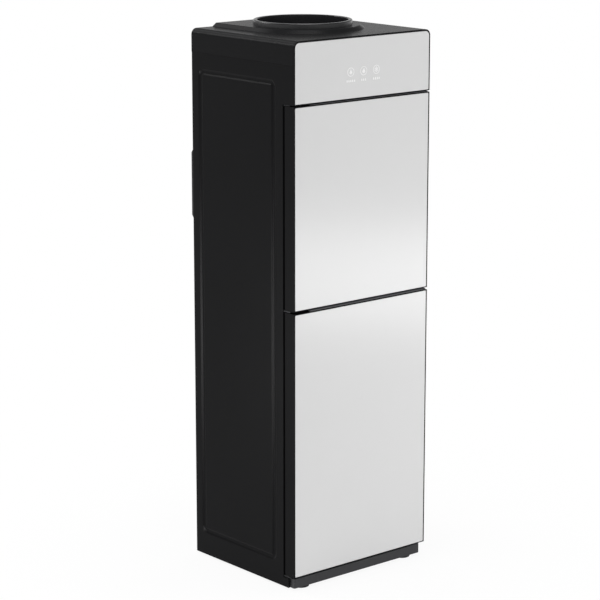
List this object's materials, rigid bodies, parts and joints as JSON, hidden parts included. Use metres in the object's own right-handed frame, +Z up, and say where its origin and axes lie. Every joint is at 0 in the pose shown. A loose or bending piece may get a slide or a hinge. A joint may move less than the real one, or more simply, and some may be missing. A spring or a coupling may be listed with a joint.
{
  "type": "water dispenser",
  "caption": "Upright water dispenser: bottle collar on top, taps and drip tray behind an upper glass door, storage cabinet behind a lower glass door.",
  "frame": {"origin": "on the floor, under the middle of the object's box", "axes": "+Z up, -Y towards the glass doors, +X to the right seen from the front"},
  "size_m": [0.31, 0.2862, 0.9775],
  "materials": {
    "painted_steel": "satin black powder coat",
    "satin_black_plastic": "satin moulded black",
    "gloss_black_plastic": "gloss moulded black",
    "front_glass": "silver-backed tempered glass",
    "liner_plastic": "smooth light grey",
    "white_plastic": "gloss white",
    "clear_plastic": "clear",
    "red_plastic": "gloss red",
    "blue_plastic": "gloss blue",
    "green_plastic": "green",
    "zinc_steel": "zinc plated",
    "stainless_steel": "brushed stainless",
    "copper": "drawn copper",
    "magnet": "ground",
    "black_rubber": "matt rubber",
    "silicone": "clear silicone",
    "seal_rubber": "soft grey",
    "foam": "moulded foam"
  },
  "bodies": {
    "cabinet": {"base_pan": "satin_black_plastic", "feet": "black_rubber", "plinth": "satin_black_plastic", "left_side_panel": "painted_steel", "right_side_panel": "painted_steel", "back_panel": "satin_black_plastic", "top_cover": "satin_black_plastic", "fascia_frame": "gloss_black_plastic", "fascia_glass": "front_glass", "light_pipes": "clear_plastic", "light_board": "green_plastic", "top_hinge": "zinc_steel", "middle_hinge": "zinc_steel", "bottom_hinge": "zinc_steel", "door_magnets": "magnet", "tap_bay_liner": "liner_plastic", "hot_tap_body": "white_plastic", "cold_tap_body": "white_plastic", "tap_pins": "stainless_steel", "lower_liner": "liner_plastic", "tank_deck": "zinc_steel", "cold_tank": "stainless_steel", "baffle_plate": "white_plastic", "evaporator_coil": "copper", "cold_insulation": "foam", "hot_tank": "stainless_steel", "heater_band": "copper", "thermostats": "black_rubber", "hot_insulation": "foam", "water_hoses": "silicone", "compressor": "painted_steel", "compressor_mounts": "black_rubber", "condenser_coil": "painted_steel", "condenser_wires": "painted_steel", "filter_dryer": "copper", "control_board": "green_plastic", "service_cover": "satin_black_plastic", "cord_gland": "black_rubber", "drain_spouts": "white_plastic", "rear_screws": "zinc_steel"},
    "upper_door": {"upper_door_frame": "gloss_black_plastic", "upper_door_glass": "front_glass", "upper_door_back": "liner_plastic", "upper_door_seal": "seal_rubber"},
    "lower_door": {"lower_door_frame": "gloss_black_plastic", "lower_door_glass": "front_glass", "lower_door_back": "liner_plastic", "lower_door_seal": "seal_rubber"},
    "hot_lever": {"hot_tap_lever": "red_plastic"},
    "hot_lock": {"hot_tap_lock": "white_plastic"},
    "cold_lever": {"cold_tap_lever": "blue_plastic"},
    "tray": {"drip_tray": "satin_black_plastic"},
    "grille": {"drip_grille": "stainless_steel"},
    "seat": {"bottle_seat": "satin_black_plastic", "seat_probe": "white_plastic"},
    "shelf": {"wire_shelf": "stainless_steel"},
    "hot_rocker": {"hot_switch": "red_plastic"},
    "cold_rocker": {"cold_switch": "green_plastic"},
    "hot_cap": {"hot_drain_cap": "red_plastic"},
    "cold_cap": {"cold_drain_cap": "blue_plastic"}
  },
  "joints": [
    {"name": "upper_door_hinge", "type": "hinge", "parent": "cabinet", "child": "upper_door", "pos_m": [-0.148, -0.1231, 0.6778], "axis": [0, 0, -1], "range_deg": [0, 95]},
    {"name": "lower_door_hinge", "type": "hinge", "parent": "cabinet", "child": "lower_door", "pos_m": [-0.148, -0.1231, 0.2621], "axis": [0, 0, -1], "range_deg": [0, 95]},
    {"name": "hot_tap_press", "type": "hinge", "parent": "cabinet", "child": "hot_lever", "pos_m": [-0.065, -0.0341, 0.7685], "axis": [1, 0, 0], "range_deg": [0, 14], "stiffness_Nm_per_rad": 0.4, "springref_deg": -8.59},
    {"name": "hot_lock_slide", "type": "slide", "parent": "hot_lever", "child": "hot_lock", "axis": [0, -1, 0], "range_m": [0, 0.003], "stiffness_N_per_m": 300, "springref_m": -0.002},
    {"name": "cold_tap_press", "type": "hinge", "parent": "cabinet", "child": "cold_lever", "pos_m": [0.065, -0.0341, 0.7685], "axis": [1, 0, 0], "range_deg": [0, 14], "stiffness_Nm_per_rad": 0.4, "springref_deg": -8.59},
    {"name": "drip_tray_lift", "type": "slide", "parent": "cabinet", "child": "tray", "axis": [0, 0, 1], "range_m": [0, 0.09]},
    {"name": "drip_grille_lift", "type": "slide", "parent": "tray", "child": "grille", "axis": [0, 0, 1], "range_m": [0, 0.04]},
    {"name": "bottle_seat_lift", "type": "slide", "parent": "cabinet", "child": "seat", "axis": [0, 0, 1], "range_m": [0, 0.12]},
    {"name": "shelf_lift", "type": "slide", "parent": "cabinet", "child": "shelf", "axis": [0, 0, 1], "range_m": [0, 0.03]},
    {"name": "hot_switch_rock", "type": "hinge", "parent": "cabinet", "child": "hot_rocker", "pos_m": [0.07, 0.1309, 0.6865], "axis": [-1, 0, 0], "range_deg": [0, 16]},
    {"name": "cold_switch_rock", "type": "hinge", "parent": "cabinet", "child": "cold_rocker", "pos_m": [0.1, 0.1309, 0.6865], "axis": [-1, 0, 0], "range_deg": [0, 16]},
    {"name": "hot_drain_cap_pull", "type": "slide", "parent": "cabinet", "child": "hot_cap", "axis": [0, 1, 0], "range_m": [0, 0.012]},
    {"name": "cold_drain_cap_pull", "type": "slide", "parent": "cabinet", "child": "cold_cap", "axis": [0, 1, 0], "range_m": [0, 0.012]}
  ]
}
